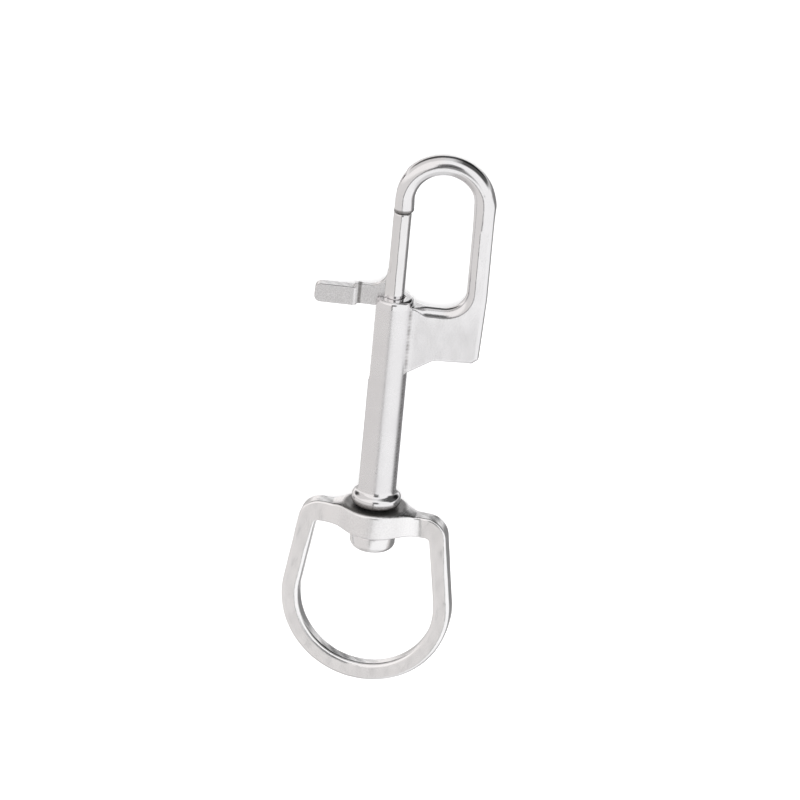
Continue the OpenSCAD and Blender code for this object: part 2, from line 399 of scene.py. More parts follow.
@dataclass(frozen=True)
class Steel:
    """A stainless finish: grain, mottling, pits, scuffed edges, dull hollows darkened as painted shade, and
    painted shade in gaps and corners.

    Grain is the size of the surface's grain in metres. Coarse and skin are the relief and the speckled
    grime that the mesh's coarse places get.
    """

    # Dark colour of the real grime on coarse skin, and of the painted shade in gaps, bores, creases and under the
    # flange.
    DIRT_AND_PAINTED_SHADE: ClassVar[Colour] = (0.17, 0.16, 0.155)
    MOTTLE_SIZE: ClassVar[float] = 0.006
    SPECK_SIZE: ClassVar[float] = 0.00022
    PIT_SIZE: ClassVar[float] = 0.0012

    name: str
    light: Colour
    dark: Colour
    roughness: float
    roughness_range: float = 0.10
    grain: float = 0.00035
    grain_depth: float = 0.04
    pits: float = 0.0
    coarse: float = 0.0
    skin: float = 0.0

    def material(self) -> bpy.types.Material:
        """Returns the finish as a material."""
        n = Nodes(bpy.data.materials.new(self.name))
        place = n.add("ShaderNodeTexCoord").outputs["Object"]
        mottle = n.noise(place, self.MOTTLE_SIZE, 4.0)
        grain = n.noise(place, self.grain, 4.0, 0.65)
        speck = n.noise(place, self.SPECK_SIZE, 2.0, 0.6)
        wear, hollow, coarse = n.attribute("edge_wear"), n.attribute("recess"), n.attribute("coarse")
        # The mesh's stored mark is painted shade, speckled here; grime is real grime on the coarse skin. Both mix
        # towards the dark colour.
        stored_shade_speckled = n.fold("MULTIPLY", n.attribute("dirt_and_painted_shade"), n.span(speck, (0.4, 0.6), (1.0, 0.75)))
        grime = n.fold("MULTIPLY", n.span(coarse, (0.0, 1.0), (0.0, self.skin)),
                       n.span(speck, (0.4, 0.6), (1.8, 0.2)))
        dirt_and_painted_shade = n.fold("MAXIMUM", stored_shade_speckled, grime)
        # Mottle and worn edges are the steel's own tone. The darkening of hollows by the recess value is painted
        # shade.
        shade = n.fold("ADD", n.span(mottle, (0.3, 0.7), (0.25, 0.85)), n.span(wear, (0.1, 0.6), (0.0, 0.35)),
                       n.span(hollow, (0.15, 0.8), (0.0, -0.7)))
        n.join(n.tint(dirt_and_painted_shade, n.tint(shade, self.dark, self.light), self.DIRT_AND_PAINTED_SHADE), n.shader.inputs["Base Color"])
        n.join(self._dullness(n, mottle, grain, wear, hollow, coarse, dirt_and_painted_shade), n.shader.inputs["Roughness"])
        n.shader.inputs["Metallic"].default_value = 1.0
        normal = n.bump(grain, 0.0002, self.grain_depth)
        normal = n.bump(speck, 0.0003, n.span(coarse, (0.5, 1.0), (0.0, self.coarse)), normal)
        if self.pits:
            pit = n.span(n.noise(place, self.PIT_SIZE, 2.0), (0.30, 0.42), (0.0, 1.0))
            normal = n.bump(pit, 0.0004, self.pits, normal)
        n.join(normal, n.shader.inputs["Normal"])
        return n.owner

    def _dullness(self, n: Nodes, mottle: Socket, grain: Socket, wear: Socket, hollow: Socket,
                  coarse: Socket, dirt_and_painted_shade: Socket) -> Socket:
        """Roughness: worn edges are brighter; hollows, coarse skin, grime and the places with painted shade are
        duller.
        """
        half = self.roughness_range / 2.0
        return n.fold("ADD", n.span(mottle, (0.3, 0.7), (self.roughness + half, self.roughness - half)),
                      n.span(grain, (0.3, 0.7), (-0.03, 0.03)), n.span(wear, (0.1, 0.6), (0.0, -0.06)),
                      n.span(hollow, (0.15, 0.8), (0.0, 0.08)), n.span(coarse, (0.0, 1.0), (0.0, 0.20)),
                      n.span(dirt_and_painted_shade, (0.0, 1.0), (0.0, 0.25)))


CAST_BODY = Steel("cast_body_steel", light=(0.88, 0.87, 0.88), dark=(0.82, 0.81, 0.82), roughness=0.13,
                  roughness_range=0.04, grain_depth=0.05, coarse=0.02, skin=0.035)
CAST_EYE = Steel("cast_eye_steel", light=(0.99, 0.98, 0.985), dark=(0.94, 0.93, 0.935), roughness=0.14,
                 roughness_range=0.05, pits=0.03, coarse=0.05, skin=0.09)
BOLT_STEEL = Steel("bolt_steel", light=(0.88, 0.87, 0.875), dark=(0.81, 0.80, 0.805), roughness=0.09,
                   roughness_range=0.03, grain=0.00028, coarse=0.4, skin=0.14)
RIVET_STEEL = Steel("rivet_steel", light=(0.93, 0.92, 0.925), dark=(0.89, 0.88, 0.885), roughness=0.24,
                    roughness_range=0.05, grain=0.0003)
WIRE_STEEL = Steel("spring_wire", light=(0.64, 0.63, 0.62), dark=(0.52, 0.51, 0.50), roughness=0.30,
                   grain=0.0002, grain_depth=0.08)


# ---------------------------------------------------------------- pieces


@dataclass(frozen=True)
class Piece:
    """A piece's name, the body it rides on, the CAD node it stands for, its slot and its finish."""

    name: str
    body: Body
    node: str
    slot: str
    finish: Steel

    def hand_in(self, mesh: bpy.types.Mesh) -> bpy.types.Object:
        """Dresses a finished mesh and puts it in place of its CAD node.

        Args:
            mesh: The mesh in the row frame.

        Returns:
            The piece.
        """
        piece = bpy.data.objects.new(self.name, mesh)
        bpy.context.scene.collection.objects.link(piece)
        mesh.materials.clear()
        mesh.materials.append(self.finish.material())
        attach(piece, self.body.value)
        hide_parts(self.node)
        log.info("%s: %d faces in place of %s", self.name, len(mesh.polygons), self.node)
        return piece


@dataclass
class Casting(ABC):
    """A cast piece. Each kind gives its shape, its painted shade and its grain as fields along v, u and w in mm.
    """

    SKIN: ClassVar[Skin]
    PIECE: ClassVar[Piece]

    axes: BarrelAxes

    @abstractmethod
    def solid(self, v: Array, u: Array, w: Array) -> Array:
        """Signed distance to the casting, negative inside."""

    @abstractmethod
    def painted_shade(self, v: Array, u: Array, w: Array) -> Array:
        """How much painted shade a place gets, from 0 to 1."""

    @abstractmethod
    def grainy(self, v: Array, u: Array, w: Array) -> Array:
        """How coarse the skin is at a place, from 0 to 1."""

    def build(self) -> bpy.types.Object:
        """Makes the piece."""
        return self.PIECE.hand_in(self.SKIN.mesh(self.PIECE.name, self.solid, self.axes, self.painted_shade, self.grainy))


@dataclass
class HookBody(Casting):
    """The cast barrel with its flange, web, spine and hook arch. Sizes in mm."""

    SKIN: ClassVar[Skin] = Skin((-5.4, -0.6, -5.4), (19.0, 78.4, 5.4), 0.25)
    PIECE: ClassVar[Piece] = Piece("hook_casting", Body.HOOK, "hook_body", "cast_body", CAST_BODY)

    barrel_r: float = 3.8
    barrel_length: float = 45.5
    bore_r: float = 1.9
    mouth_round: float = 0.65
    flange_r: float = 4.9
    flange_thickness: float = 2.2
    flange_round: float = 0.65
    flange_fillet: float = 1.2
    stock_r: float = 2.1
    stock_fillet: float = 0.5
    loop_width: float = 14.2
    gate_opening: float = 18.9
    tip_length: float = 2.75
    tip_round: float = 0.5
    tip_swell: float = 0.2
    spine_low: float = 2.0
    spine_thinning: float = 0.4
    taper_length: float = 5.0
    web_thickness: float = 3.6
    web_height: float = 12.5
    web_fillet: float = 0.35
    web_root: float = 0.6
    heel: tuple[tuple[float, float], ...] = ((0.6, 1.1), (1.9, 0.02))
    knee_reach: float = 5.1
    knee_angle: float = 33.0
    knee_radius: float = 3.0
    corner_radius: float = 4.5
    floor_drop: float = 1.5
    floor_round: float = 0.35
    edge: float = 0.38
    spine_edge: float = 0.83
    spine_edge_from: float = 12.0
    fade_length: float = 3.0
    slot_low: float = 26.85
    slot_width: float = 2.0
    slot_edge: float = 0.22

    def __post_init__(self) -> None:
        """Works out the places that follow from the sizes."""
        self.web_h = self.web_thickness / 2
        self.spine_out = self.loop_width + 2 * self.stock_r
        self.arch_r = (self.spine_out - self.stock_r) / 2
        self.tip_u = self.barrel_length + self.gate_opening
        self.arch_u = self.tip_u + self.tip_length
        self.floor_u = self.barrel_length - self.floor_drop
        self.foot_u = self.barrel_length - self.web_height
        self.sheet = self._sheet()
        self.opening = self._opening()

    def _sheet(self) -> Outline:
        """Outer outline of web and spine in (v, u), which ends inside the arch and the barrel."""
        angle = math.radians(self.knee_angle)
        knee_v = self.barrel_r + self.knee_reach
        run = self.knee_radius * math.tan(angle / 2)
        inner = self.bore_r + self.web_root
        bend = 4.0
        return [*arc(self.spine_out - bend, self.arch_u, bend, 62, 0),
                (self.spine_out, self.barrel_length + self.spine_low),
                *((self.spine_out - inwards, self.foot_u + up) for inwards, up in self.heel),
                *arc(knee_v + run, self.foot_u - self.knee_radius, self.knee_radius, 90, 90 + self.knee_angle),
                (inner, self.foot_u - (knee_v - inner) * math.tan(angle)),
                (inner, self.arch_u + 3.5)]

    def _opening(self) -> Outline:
        """Outline of the loop's opening in (v, u), open towards the bolt."""
        centre_v = self.loop_width - self.corner_radius
        past = 20.0
        return [(self.loop_width, self.arch_u + past),
                *arc(centre_v, self.floor_u + self.corner_radius, self.corner_radius, 360, 270),
                (-past, self.floor_u), (-past, self.arch_u + past)]

    def _plate(self, v: Array, u: Array, w: Array) -> Array:
        """Web and spine: flat outside, and round along the loop, fading to flat at the barrel."""
        side = np.abs(w) - self.web_h
        soft = self.edge + (self.spine_edge - self.edge) * ramp(v, self.spine_edge_from, self.fade_length)
        fade = ramp(v, self.barrel_r, self.fade_length)
        rim = self.floor_round + (self.web_h - 0.02 - self.floor_round) * fade * fade * (3.0 - 2.0 * fade)
        return np.maximum(slab(outline(self.sheet, v, u), side, soft),
                          slab(-outline(self.opening, v, u), side, rim))

    def _stock(self, v: Array, u: Array, w: Array) -> Array:
        """The arch's round stock, from the tip over to where it has run out into the spine."""
        past = np.hypot(v - self.arch_r, u - self.arch_u)
        run = np.where(u > self.arch_u, past, np.abs(v - self.arch_r))
        swell = np.clip((u - self.arch_u) / self.taper_length, -1.0, 0.0) * np.where(
            v > self.arch_r, self.spine_thinning, -self.tip_swell)
        low = np.where(v < self.arch_r, self.tip_u - u, self.arch_u - self.taper_length - u)
        return slab(np.hypot(run - self.arch_r, w) - (self.stock_r + swell), low, self.tip_round)

    def _barrel(self, u: Array, rho: Array) -> Array:
        """The barrel, which starts inside its end flange."""
        tube = slab(rho - self.barrel_r, np.maximum(0.4 - u, u - self.barrel_length),
                    np.where(u > self.barrel_length / 2, self.mouth_round, 0.3))
        middle = self.flange_thickness / 2
        flange = slab(rho - self.flange_r, np.abs(u - middle) - middle, self.flange_round)
        return fuse(tube, flange, self.flange_fillet)

    def solid(self, v: Array, u: Array, w: Array) -> Array:
        """Signed distance to the casting."""
        rho = np.hypot(v, w)
        hook = fuse(self._plate(v, u, w), self._stock(v, u, w), self.stock_fillet)
        body = fuse(self._barrel(u, rho), hook, self.web_fillet) + uneven(v, u, w, depth=0.008, length=9.0)
        bore = np.maximum(rho - self.bore_r, u - self.barrel_length - 1.0)
        slot_r = self.slot_width / 2
        slot = np.maximum(np.hypot(np.minimum(u - self.slot_low - slot_r, 0.0), w) - slot_r, v)
        return carve(body, np.minimum(bore, slot), self.slot_edge)

    def painted_shade(self, v: Array, u: Array, w: Array) -> Array:
        """Painted shade darkens the bore, the tip's end face, the flange's lower part and, in patches, the corner
        beside the web.
        """
        rho = np.hypot(v, w)
        tip = near(np.abs(u - self.tip_u) - 0.62, reach=0.25) * (rho < self.stock_r + 0.4)
        bore = near(rho - self.bore_r, reach=0.12) * (u < self.barrel_length - 0.15)
        beside = np.hypot(v - self.barrel_r * 0.9, np.abs(w) - self.web_h)
        patchy = 0.62 + 0.38 * np.sin(4.7 * u) * np.sin(2.9 * u + 1.0)
        corner = near(beside, reach=0.6) * (u < self.floor_u) * patchy
        return np.maximum(np.maximum(tip, bore), np.maximum(near(u - 0.95, reach=0.35), corner))

    def grainy(self, v: Array, u: Array, w: Array) -> Array:
        """The web's flat sides keep the mould's grain, the barrel is satin, and rim and arch are bright."""
        web = ramp(v, self.barrel_r + 0.3, 0.8) * ramp(u, self.floor_u + 1.0, -6.0)
        flat = web * ramp(np.abs(w), self.web_h - 0.25, 0.2)
        barrel = (np.hypot(v, w) < self.barrel_r + 0.2) * (u < self.floor_u) * (u > 3.5)
        return np.maximum(0.35 * flat, 0.75 * barrel)


@dataclass
class SlidingBolt(Casting):
    """The round bolt with its arm, gusset and thumb pad. Sizes in mm."""

    SKIN: ClassVar[Skin] = Skin((-16.8, 26.9, -2.3), (2.3, 64.9, 2.3), 0.16, 0.4)
    PIECE: ClassVar[Piece] = Piece("lever_bolt", Body.BOLT, "sliding_bolt", "bolt", BOLT_STEEL)

    rod_r: float = 1.8
    rod_low: float = 27.325
    rod_high: float = 64.35
    top_round: float = 0.65
    foot_round: float = 0.3
    arm_low: float = 43.4
    arm_height: float = 4.2
    arm_thickness: float = 1.6
    arm_edge: float = 0.22
    arm_root: float = 0.8
    arm_fillet: float = 0.45
    gusset_r: float = 3.4
    pad_reach: float = 7.4
    pad_length: float = 8.7
    pad_height: float = 3.9
    pad_drop: float = 0.55
    pad_thickness: float = 2.5
    pad_edge: float = 0.3
    pad_inner_round: float = 0.4
    pad_outer_round: float = 1.3
    pad_slope: float = 0.95

    def __post_init__(self) -> None:
        """Works out the outlines of arm and pad in (v, u), and the pad's in (v, w)."""
        top = self.arm_low + self.arm_height
        start = -self.pad_reach
        end = start - 0.9
        self.arm = [(-self.arm_root, self.arm_low), (end, self.arm_low), (end, top),
                    *arc(-self.rod_r - self.gusset_r, top + self.gusset_r, self.gusset_r, 270, 360),
                    (-self.arm_root, top + self.gusset_r)]
        low = self.arm_low + (self.arm_height - self.pad_height) / 2 - self.pad_drop
        high = low + self.pad_height
        far = start - self.pad_length
        inner, outer = self.pad_inner_round, self.pad_outer_round
        self.pad = [*arc(start - inner, low + inner, inner, 360, 270, 15),
                    *arc(far + outer, low + outer, outer, 270, 180, 8),
                    *arc(far + outer, high - outer, outer, 180, 90, 8),
                    *arc(start - inner, high - inner, inner, 90, 0, 15)]
        half, thin, past, thick = self.pad_thickness / 2, self.arm_thickness / 2, far - 3.0, start - self.pad_slope
        self.pad_top = [(start, -thin), (start, thin), (thick, half), (past, half), (past, -half), (thick, -half)]

    def solid(self, v: Array, u: Array, w: Array) -> Array:
        """Signed distance to the bolt."""
        rod = slab(np.hypot(v, w) - self.rod_r, np.maximum(self.rod_low - u, u - self.rod_high),
                   np.where(u > self.arm_low, self.top_round, self.foot_round))
        arm = slab(outline(self.arm, v, u), np.abs(w) - self.arm_thickness / 2, self.arm_edge)
        pad = slab(outline(self.pad, v, u), outline(self.pad_top, v, w), self.pad_edge)
        return fuse(fuse(rod, arm, self.arm_fillet), pad, 0.12) + uneven(v, u, w, depth=0.010, length=6.0)

    def painted_shade(self, v: Array, u: Array, w: Array) -> Array:
        """Painted shade darkens the end that closes the gate and the corner behind the pad."""
        end = near(np.abs(u - self.rod_high) - 0.18, reach=0.18)
        step = near(np.abs(v + self.pad_reach - 0.25) - 0.2, reach=0.3)
        return np.maximum(end, 0.9 * step * (v < -3.0))

    def grainy(self, v: Array, u: Array, w: Array) -> Array:
        """The flat sides of arm and pad keep the mould's grain; their edges and the rod are smooth."""
        half = np.where(v < -self.pad_reach - 0.5, self.pad_thickness, self.arm_thickness) / 2
        flat = ramp(np.abs(w) - half, -0.18, 0.1)
        return ramp(v, -self.rod_r - 0.1, -0.5) * (0.15 + 0.85 * flat)


@dataclass
class StrapEye(Casting):
    """The cast D-shaped eye with the boss that turns on the rivet. Sizes in mm."""

    SKIN: ClassVar[Skin] = Skin((-17.9, -39.6, -7.2), (17.9, 0.0, 7.2), 0.22)
    PIECE: ClassVar[Piece] = Piece("strap_eye_casting", Body.EYE, "swivel_ring", "cast_eye", CAST_EYE)

    width: float = 34.6
    length: float = 38.4
    bar: float = 3.5
    height: float = 5.1
    bar_drop: float = 0.75
    boss_r: float = 6.6
    bore_r: float = 1.99
    bore_edge: float = 0.25
    splay: float = 8.0
    top: float = -0.5
    section: float = 0.8
    crisp: float = 0.42
    inner_round: float = 0.9
    hollow: float = 3.2

    def __post_init__(self) -> None:
        """Works out the inner and outer outlines."""
        a = math.radians(self.splay)
        self.low = self.top - self.height
        depth = self.height - self.bar_drop
        ring_r = (self.width - self.bar) / 2
        centre = self.top - self.length + self.bar / 2 + ring_r
        self.corner = (ring_r + self.bar / 2 - depth + (centre - self.low) * math.sin(a)) / math.cos(a)
        self.outer = self._outline(self.corner, self.low, depth, ring_r + self.bar / 2, centre)
        turn = self.inner_round
        inner_corner = self.corner + (depth - self.bar - turn + turn * math.sin(a)) / math.cos(a)
        self.inner = self._outline(inner_corner, self.low - turn, turn, ring_r - self.bar / 2, centre)

    def _outline(self, corner: float, level: float, turn: float, ring: float, centre: float) -> Outline:
        """One D-shaped outline in (v, u): a straight top, two corners, splayed sides and a round end."""
        right = [*arc(corner, level, turn, 90, self.splay, 5),
                 *arc(0.0, centre, ring, self.splay, -90, 2)]
        left = [(-v, u) for v, u in reversed(right)]
        return right + left[1:]

    def solid(self, v: Array, u: Array, w: Array) -> Array:
        """Signed distance to the eye."""
        side, rho = np.abs(w) - self.bar / 2, np.hypot(v, w)
        soft = self.crisp + (self.section - self.crisp) * ramp(u, self.low - 1.0, -6.0)
        ring = np.maximum(slab(outline(self.outer, v, u), side, soft),
                          slab(-outline(self.inner, v, u), side, soft))
        plan = fuse(rho - self.boss_r, np.maximum(side, np.abs(v) - self.corner), self.hollow)
        middle = (self.top + self.low) / 2
        sag = self.bar_drop * ramp(rho, 6.0, 2.6)
        boss = slab(plan, np.abs(u - middle + 0.5 * sag) - 0.5 * (self.height - sag), self.crisp)
        body = np.minimum(ring, boss) + uneven(v, u, w, depth=0.025, length=8.0)
        return carve(body, np.maximum(rho - self.bore_r, self.low - 1.0 - u), self.bore_edge)

    def painted_shade(self, v: Array, u: Array, w: Array) -> Array:
        """Painted shade darkens the boss's top under the flange, its bore and its lower face by the head."""
        rho = np.hypot(v, w)
        top = 0.85 * near(np.abs(u - self.top), reach=0.22) * ramp(rho, self.boss_r + 0.5, -0.5)
        low = near(np.abs(u - self.low), reach=0.20) * ramp(rho, 4.4, -0.5)
        return np.maximum(np.maximum(top, low), near(rho - self.bore_r, reach=0.15) * (u > self.low - 0.5))

    def grainy(self, v: Array, u: Array, w: Array) -> Array:
        """The eye has a satin skin, and the boss's round front keeps the mould's grain."""
        front = ramp(np.abs(w), self.bar / 2 + 0.4, 0.8) * ramp(np.abs(v), self.boss_r + 0.8, -2.0)
        return 0.3 + 0.7 * front * (u < self.top - 0.3)


@dataclass
class SwivelRivet:
    """The headed rivet, turned round the barrel's axis. Sizes in mm."""

    PIECE: ClassVar[Piece] = Piece("headed_rivet", Body.HOOK, "swivel_rivet", "rivet", RIVET_STEEL)

    axes: BarrelAxes
    head_r: float = 4.55
    head_thickness: float = 3.65
    head_top: float = -6.4
    head_edge: float = 0.3
    dome: float = 0.14
    shank_r: float = 1.91
    shank_edge: float = 0.3
    neck_r: float = 0.2
    grip: float = 3.5
    segments: int = 96

    def profile(self) -> Outline:
        """Outline of the rivet in (radius, u), from the middle of the head's end to the shank's end."""
        soft = 0.45 * self.head_thickness
        low = self.head_top - self.head_thickness
        flat = self.head_r - soft
        edge, neck = self.head_edge, self.neck_r
        return [*((r, low + self.dome * (r / flat) ** 2) for r in np.linspace(0.0, flat, 6)),
                *arc(flat, low + self.dome + soft, soft, 270, 350, 9)[1:],
                *arc(self.head_r - edge, self.head_top - edge, edge, 0, 90, 18),
                *arc(self.shank_r + neck, self.head_top + neck, neck, 270, 180, 30),
                (self.shank_r, -3.0), (self.shank_r, self.grip - self.shank_edge),
                (self.shank_r - self.shank_edge, self.grip), (0.0, self.grip)]

    def build(self) -> bpy.types.Object:
        """Makes the piece."""
        bm = bmesh.new()
        path = [bm.verts.new((r, u, 0.0)) for r, u in self.profile()]
        edges = [bm.edges.new(pair) for pair in zip(path, path[1:])]
        bmesh.ops.spin(bm, geom=[*path, *edges], cent=(0, 0, 0), axis=(0, 1, 0), angle=2 * math.pi,
                       steps=self.segments, use_duplicate=False)
        bmesh.ops.remove_doubles(bm, verts=bm.verts, dist=1e-4)
        bmesh.ops.recalc_face_normals(bm, faces=bm.faces)
        bm.transform(self.axes.matrix())
        mesh = bpy.data.meshes.new("swivel_rivet_turned")
        bm.to_mesh(mesh)
        bm.free()
        mesh.shade_smooth()
        mesh.set_sharp_from_angle(angle=math.radians(40))
        store(mesh, {"edge_wear": 0.1, "recess": 0.0, "dirt_and_painted_shade": 0.0, "coarse": 0.0})
        return self.PIECE.hand_in(mesh)


@dataclass
class ReturnSpring:
    """The compression spring between rivet and bolt, wound by Geometry Nodes along a helix. Sizes in mm."""

    PIECE: ClassVar[Piece] = Piece("return_spring_wound", Body.HOOK, "return_spring", "spring", WIRE_STEEL)

    axes: BarrelAxes
    seat: float = 3.5
    travel: float = 16.0
    wire: float = 0.5
    coil_r: float = 1.5
    coils: int = 13
    low: float = 3.78
    length: float = 23.265
    closed_pitch: float = 0.55
    per_turn: int = 48
    wire_sides: int = 12

    def _tree(self, finish: bpy.types.Material) -> bpy.types.NodeTree:
        """Builds the winding: a line of points set on a helix that closes at both ends."""
        tree = bpy.data.node_groups.new("spring_winding", "GeometryNodeTree")
        tree.interface.new_socket("Geometry", in_out="OUTPUT", socket_type="NodeSocketGeometry")
        sizes = {"Coil Radius": self.coil_r, "Wire Radius": self.wire / 2, "Turns": float(self.coils),
                 "Length": self.length, "Closed Pitch": self.closed_pitch}
        for name, value in sizes.items():
            socket = tree.interface.new_socket(name, in_out="INPUT", socket_type="NodeSocketFloat")
            socket.default_value = value
        nodes, links = tree.nodes, tree.links
        given = nodes.new("NodeGroupInput").outputs

        def maths(kind: str, a: Socket | float, b: Socket | float | None = None) -> Socket:
            """Adds one sum to the tree."""
            node = nodes.new("ShaderNodeMath")
            node.operation = kind
            for slot, value in zip(node.inputs, (a, b)):
                if isinstance(value, (int, float)):
                    slot.default_value = value
                elif value is not None:
                    links.new(value, slot)
            return node.outputs[0]

        def times(a: Socket | float, b: Socket | float) -> Socket:
            """Multiplies two values."""
            return maths("MULTIPLY", a, b)

        def less(a: Socket | float, b: Socket | float) -> Socket:
            """Takes b from a."""
            return maths("SUBTRACT", a, b)

        line = nodes.new("GeometryNodeCurvePrimitiveLine")
        points = nodes.new("GeometryNodeResampleCurve")
        points.inputs["Count"].default_value = self.coils * self.per_turn + 1
        links.new(line.outputs["Curve"], points.inputs["Curve"])
        turns, closed = given["Turns"], given["Closed Pitch"]
        turn = times(nodes.new("GeometryNodeSplineParameter").outputs["Factor"], turns)
        angle = times(turn, 2 * math.pi)
        free = less(turns, 2.0)
        open_pitch = maths("DIVIDE", less(given["Length"], times(closed, 2.0)), free)
        first = times(maths("MINIMUM", turn, 1.0), closed)
        inner = times(maths("MINIMUM", maths("MAXIMUM", less(turn, 1.0), 0.0), free), open_pitch)
        last = times(maths("MAXIMUM", less(turn, less(turns, 1.0)), 0.0), closed)
        spot = nodes.new("ShaderNodeCombineXYZ")
        links.new(times(maths("COSINE", angle), given["Coil Radius"]), spot.inputs["X"])
        links.new(maths("ADD", maths("ADD", first, inner), last), spot.inputs["Y"])
        links.new(times(maths("SINE", angle), times(given["Coil Radius"], -1.0)), spot.inputs["Z"])
        wind = nodes.new("GeometryNodeSetPosition")
        links.new(points.outputs["Curve"], wind.inputs["Geometry"])
        links.new(spot.outputs["Vector"], wind.inputs["Position"])
        ring = nodes.new("GeometryNodeCurvePrimitiveCircle")
        ring.inputs["Resolution"].default_value = self.wire_sides
        links.new(given["Wire Radius"], ring.inputs["Radius"])
        tube = nodes.new("GeometryNodeCurveToMesh")
        tube.inputs["Fill Caps"].default_value = True
        links.new(wind.outputs["Geometry"], tube.inputs["Curve"])
        links.new(ring.outputs["Curve"], tube.inputs["Profile Curve"])
        real = nodes.new("GeometryNodeRealizeInstances")
        links.new(tube.outputs["Mesh"], real.inputs["Geometry"])
        dress = nodes.new("GeometryNodeSetMaterial")
        dress.inputs["Material"].default_value = finish
        links.new(real.outputs["Geometry"], dress.inputs["Geometry"])
        links.new(dress.outputs["Geometry"], nodes.new("NodeGroupOutput").inputs[0])
        return tree

    def build(self) -> bpy.types.Object:
        """Makes the piece."""
        holder = bpy.data.objects.new("spring_holder", bpy.data.meshes.new("spring_holder"))
        bpy.context.scene.collection.objects.link(holder)
        modifier = holder.modifiers.new("winding", "NODES")
        modifier.node_group = self._tree(WIRE_STEEL.material())
        bpy.context.view_layer.update()
        seen = holder.evaluated_get(bpy.context.evaluated_depsgraph_get())
        mesh = bpy.data.meshes.new_from_object(seen)
        bpy.data.objects.remove(holder)
        mesh.transform(self.axes.matrix() @ Matrix.Translation((0.0, self.low, 0.0)))
        bm = bmesh.new()
        bm.from_mesh(mesh)
        bmesh.ops.remove_doubles(bm, verts=bm.verts, dist=1e-7)
        bmesh.ops.recalc_face_normals(bm, faces=bm.faces)
        bm.to_mesh(mesh)
        bm.free()
        mesh.shade_smooth()
        mesh.set_sharp_from_angle(angle=math.radians(50))
        store(mesh, {"edge_wear": 0.0, "recess": 0.0, "dirt_and_painted_shade": 0.3, "coarse": 0.0})
        spring = self.PIECE.hand_in(mesh)
        anchor = self.axes.place(np.array([[0.0, self.seat, 0.0]]))[0]
        tuple(self.axes.u)
        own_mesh(spring)
        return spring


# ---------------------------------------------------------------- studio


class Way(Enum):
    """The directions by which the room's flags are placed."""

    WEB = "v"
    ARCH = "u"
    UP = "w"
    LENS = "lens"


@dataclass(frozen=True)
class Flag:
    """A grey or dark flag in the white room, which polished metal mirrors as a band.

    Each edge gives a direction and the two shares of it between which the flag fades in.
    """

    name: str
    depth: float
    edges: tuple[tuple[Way, float, float], ...]


FLAGS = (
    Flag("left side", 0.25, ((Way.WEB, -0.08, -0.14), (Way.ARCH, 0.15, -0.05))),
    Flag("strip along the left side", 0.90, (
        (Way.WEB, -0.21, -0.17), (Way.WEB, -0.08, -0.12), (Way.ARCH, 0.30, 0.20), (Way.ARCH, -0.60, -0.50),
        (Way.UP, 0.1, 0.3))),
    Flag("bar overhead", 0.75, (
        (Way.ARCH, -0.24, -0.14), (Way.ARCH, 0.40, 0.30), (Way.WEB, -0.18, -0.14), (Way.WEB, 0.34, 0.20),
        (Way.UP, 0.5, 0.7))),
    Flag("lens", 0.80, ((Way.LENS, 0.960, 0.978),)),
    Flag("low beyond the arch", 0.90, ((Way.ARCH, 0.25, 0.40), (Way.UP, -0.32, -0.48), (Way.UP, -0.91, -0.87))),
    Flag("low on the web's side", 0.76, (
        (Way.WEB, 0.15, 0.30), (Way.ARCH, 0.20, 0.00), (Way.UP, -0.05, -0.25), (Way.UP, -0.99, -0.94))),
    Flag("below the lever", 0.30, ((Way.WEB, 0.0, -0.12), (Way.UP, -0.72, -0.86), (Way.ARCH, 0.1, 0.0))),
    Flag("corner beyond arch and web", 0.88, (
        (Way.WEB, 0.10, 0.40), (Way.ARCH, 0.10, 0.28), (Way.UP, 0.40, 0.20), (Way.UP, -0.84, -0.72))),
    Flag("beyond the arch", 0.25, ((Way.ARCH, 0.20, 0.40), (Way.UP, 0.30, 0.12), (Way.UP, -0.84, -0.72))),
    Flag("beyond the eye", 0.25, ((Way.ARCH, -0.70, -0.85),)),
)


